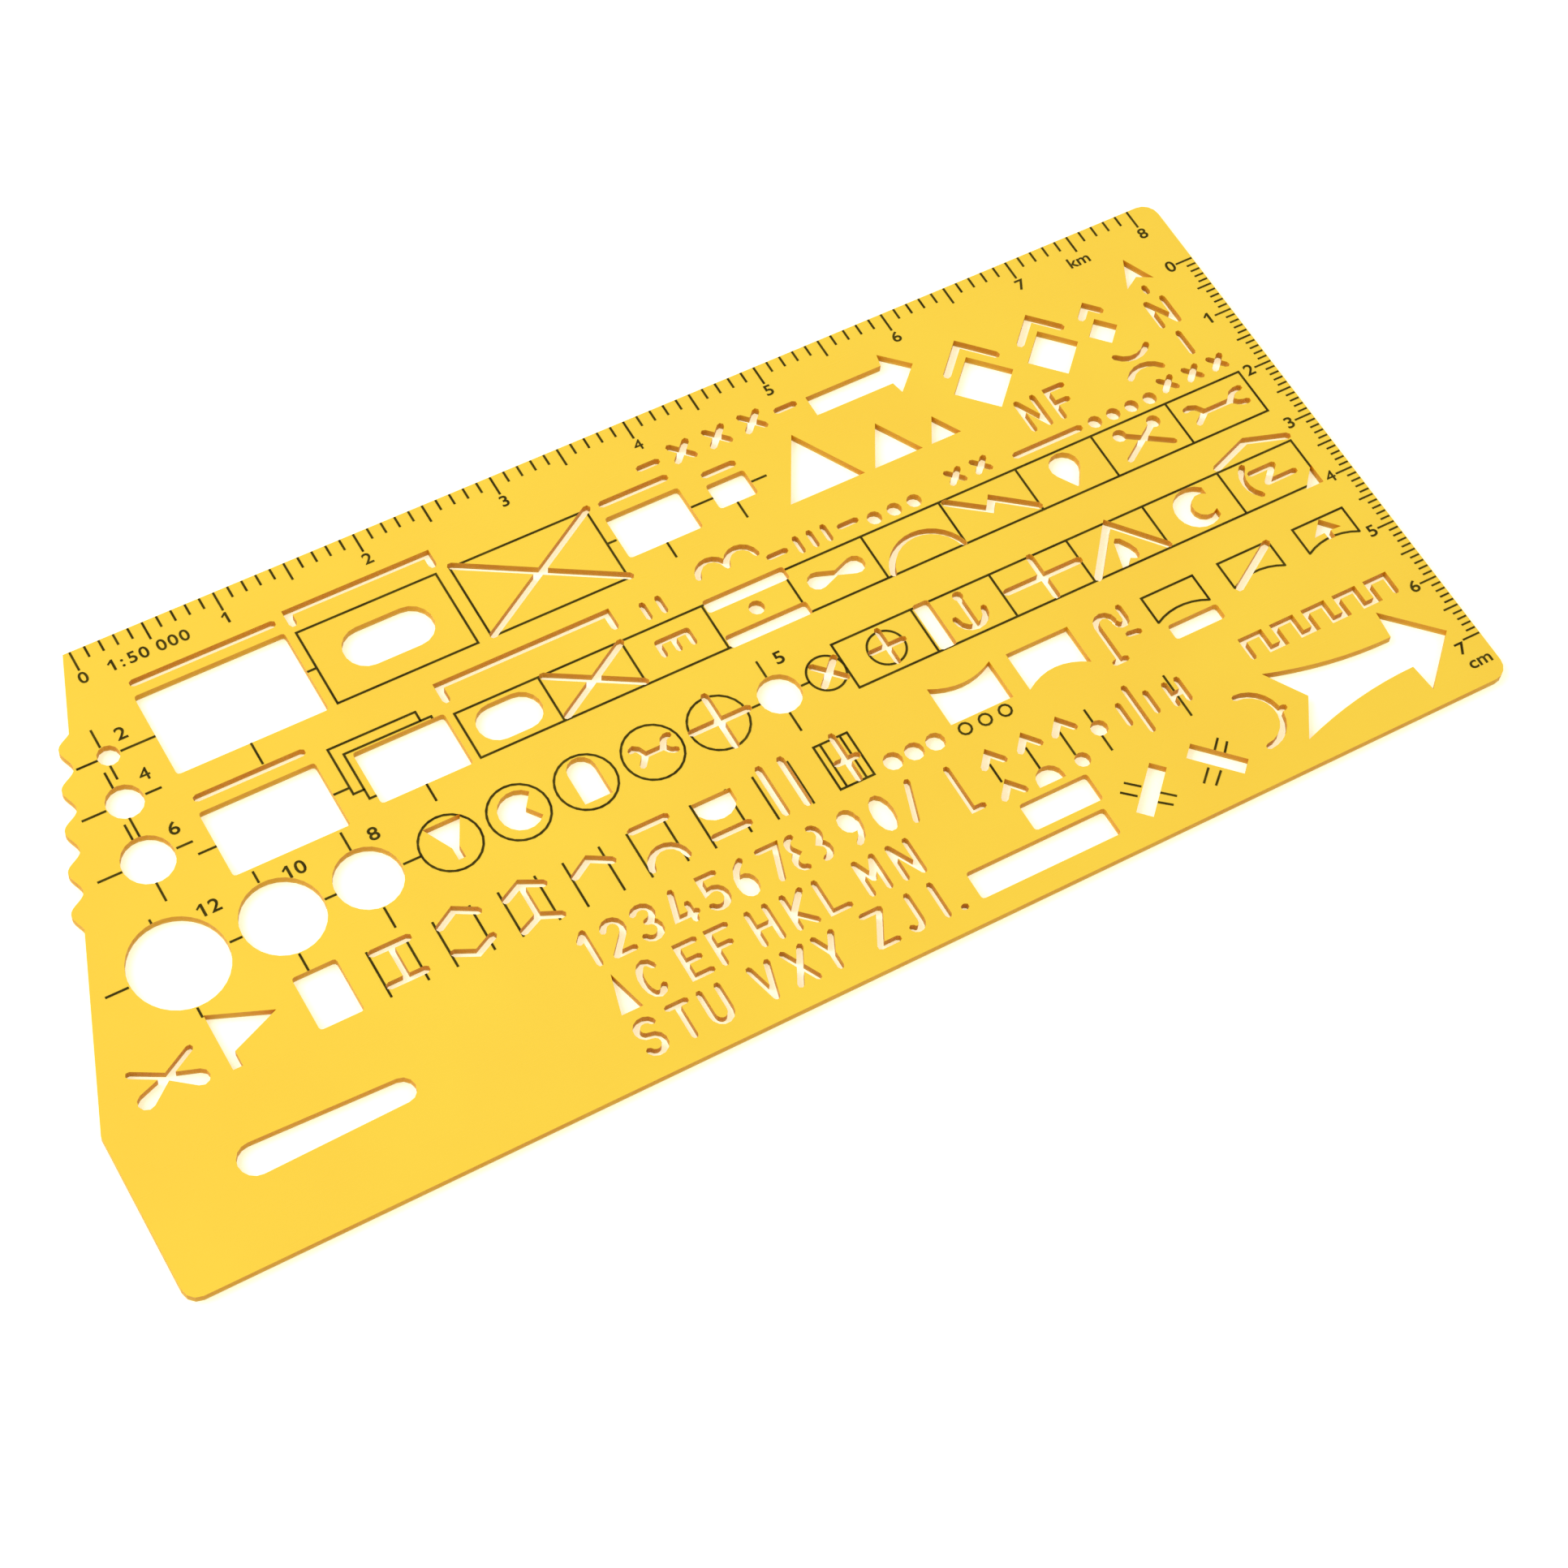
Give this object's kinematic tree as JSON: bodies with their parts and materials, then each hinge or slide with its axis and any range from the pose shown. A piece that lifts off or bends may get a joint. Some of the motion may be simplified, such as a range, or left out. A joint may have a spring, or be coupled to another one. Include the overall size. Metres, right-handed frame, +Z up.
{
  "type": "drafting template",
  "caption": "Thin yellow plastic drafting template with a slanted, scalloped end, map-symbol cut-outs, a hanging slot and printed frames, rings and scales.",
  "frame": {"origin": "centre of the sheet's bounding rectangle, on its underside", "axes": "+X along the long scale towards its high numbers, +Y across the sheet towards the long scale, +Z up through the printed face"},
  "size_m": [0.1886, 0.0882, 0.0012],
  "materials": {
    "sheet": "tinted translucent yellow, polished faces, deeper orange at the cut edges",
    "ink": "thin black screen print"
  },
  "bodies": {
    "root": {"sheet": "sheet", "ink_arrow_flag": "ink", "ink_barred_flag_1": "ink", "ink_barred_flag_2": "ink", "ink_cross_frame_1": "ink", "ink_cross_frame_2": "ink", "ink_cross_frame_3": "ink", "ink_cross_frame_4": "ink", "ink_cross_ring_1": "ink", "ink_cross_ring_2": "ink", "ink_cross_ring_3": "ink", "ink_cross_ring_4": "ink", "ink_door_ring": "ink", "ink_funnel_ring": "ink", "ink_lower_strip_1": "ink", "ink_lower_strip_2": "ink", "ink_lower_strip_3": "ink", "ink_notch_ring": "ink", "ink_plain_flag": "ink", "ink_spanner_ring": "ink", "ink_stack_inner": "ink", "ink_stack_outer": "ink", "ink_stadium_frame": "ink", "ink_upper_strip_1": "ink", "ink_upper_strip_2": "ink", "ink_upper_strip_3": "ink", "ink_upper_strip_4": "ink", "ink_upper_strip_5": "ink", "ink_upper_strip_6": "ink", "ink_wheel_1": "ink", "ink_wheel_2": "ink", "ink_wheel_3": "ink"}
  },
  "joints": []
}
